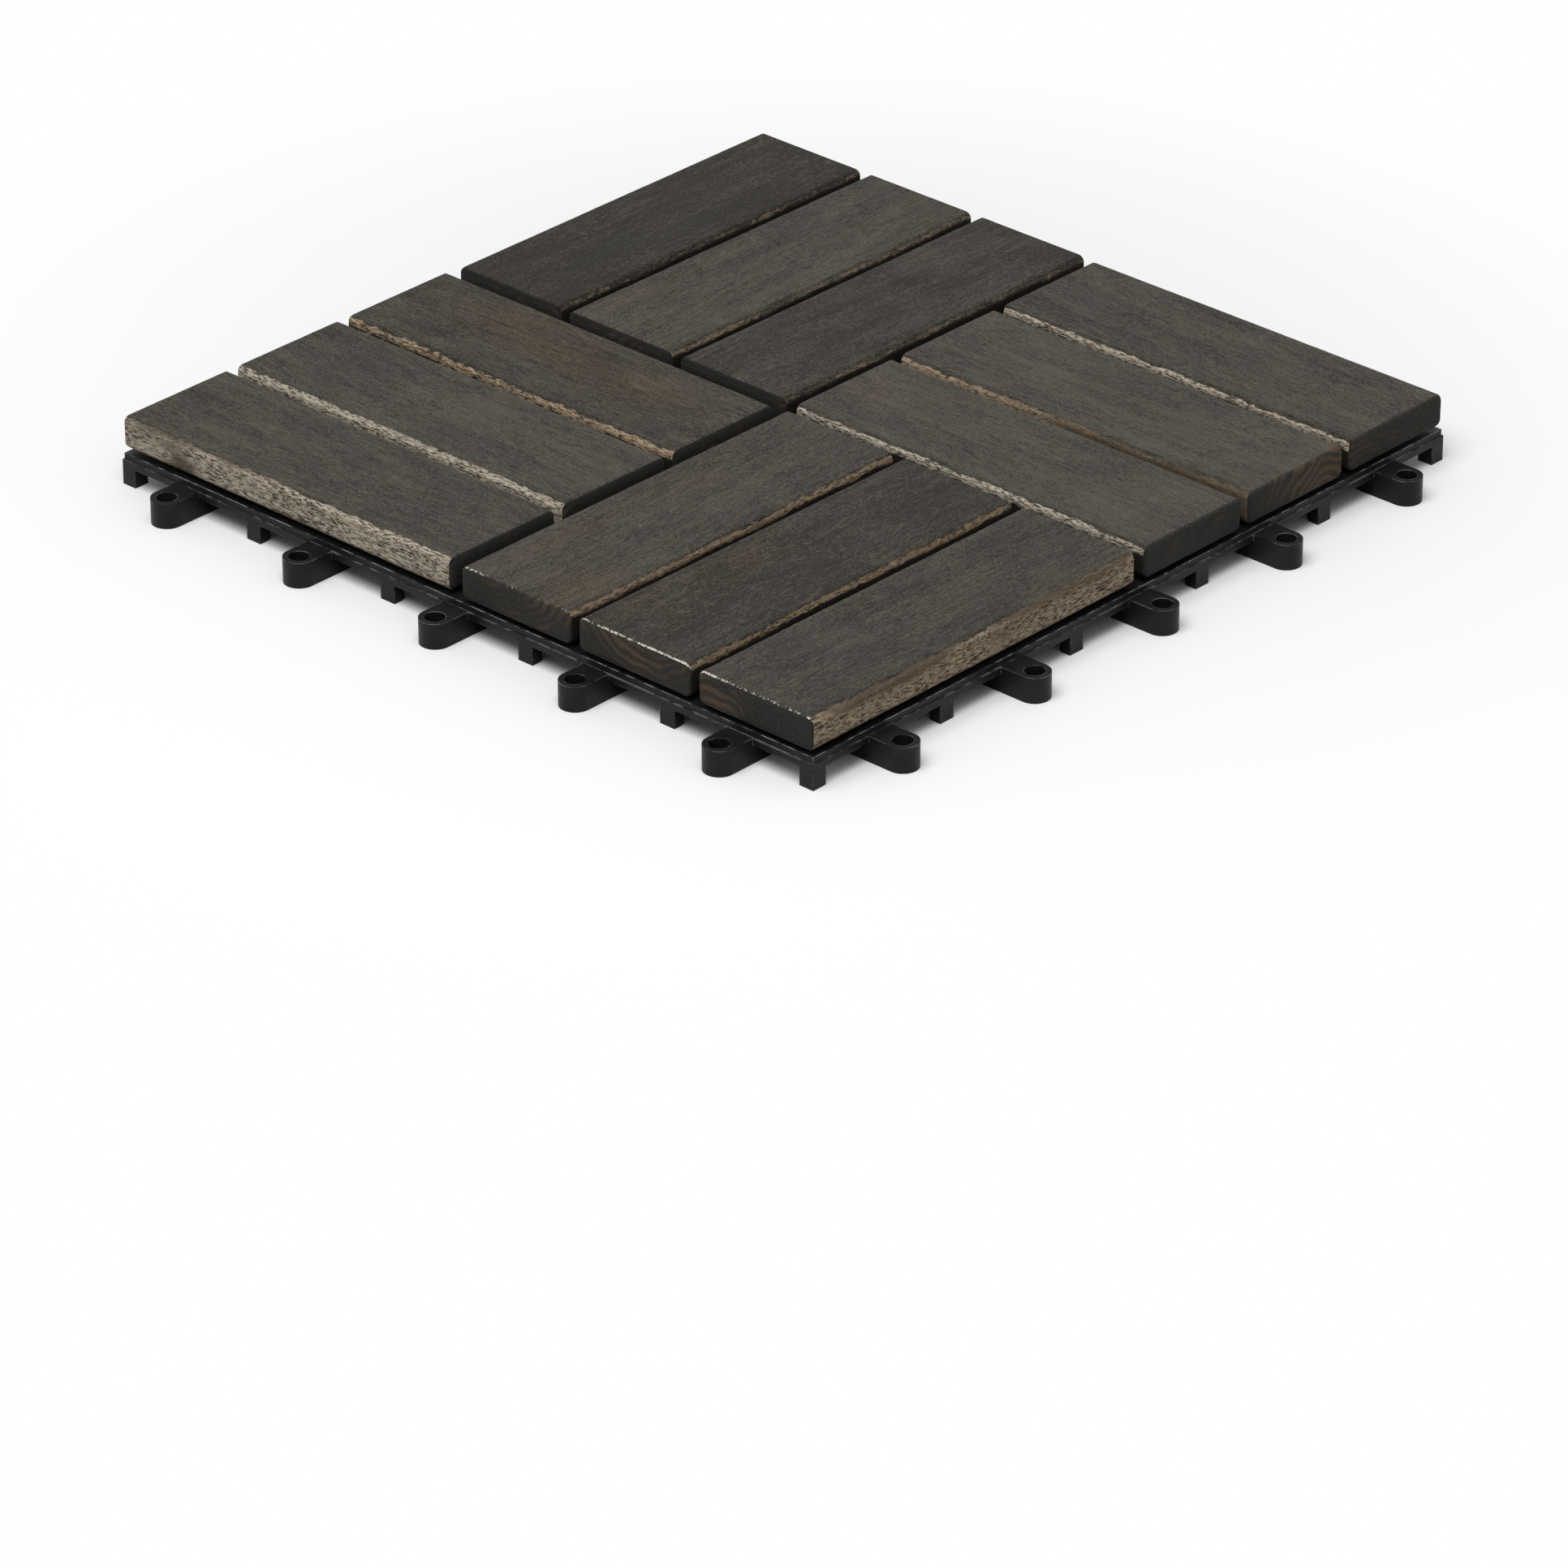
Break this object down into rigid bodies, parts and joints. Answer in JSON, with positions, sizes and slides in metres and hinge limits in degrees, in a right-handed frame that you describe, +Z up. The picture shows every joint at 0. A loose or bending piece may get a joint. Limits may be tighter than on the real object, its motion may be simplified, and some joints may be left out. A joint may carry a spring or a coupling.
{
  "type": "interlocking deck tile",
  "caption": "Square outdoor floor tile: wooden slats laid basket fashion, screwed to a black moulded grid with rings on two sides and pegs under the other two, which join tile to tile.",
  "frame": {"origin": "on the ground, under the middle of the tile", "axes": "+Z up; rings stand out on the -Y and +X sides, pegs are inside the +Y and -X sides"},
  "size_m": [0.3143, 0.3143, 0.024],
  "materials": {
    "plastic": "black moulded polypropylene, satin",
    "wood": "hardwood stained dark grey-brown, sawn sides paler and rough",
    "screw_steel": "zinc-plated steel"
  },
  "bodies": {
    "root": {"base_grid": "plastic", "slat_screws": "screw_steel", "slat_left_1": "wood", "slat_left_2": "wood", "slat_left_3": "wood", "slat_front_1": "wood", "slat_front_2": "wood", "slat_front_3": "wood", "slat_right_1": "wood", "slat_right_2": "wood", "slat_right_3": "wood", "slat_back_1": "wood", "slat_back_2": "wood", "slat_back_3": "wood"}
  },
  "joints": []
}
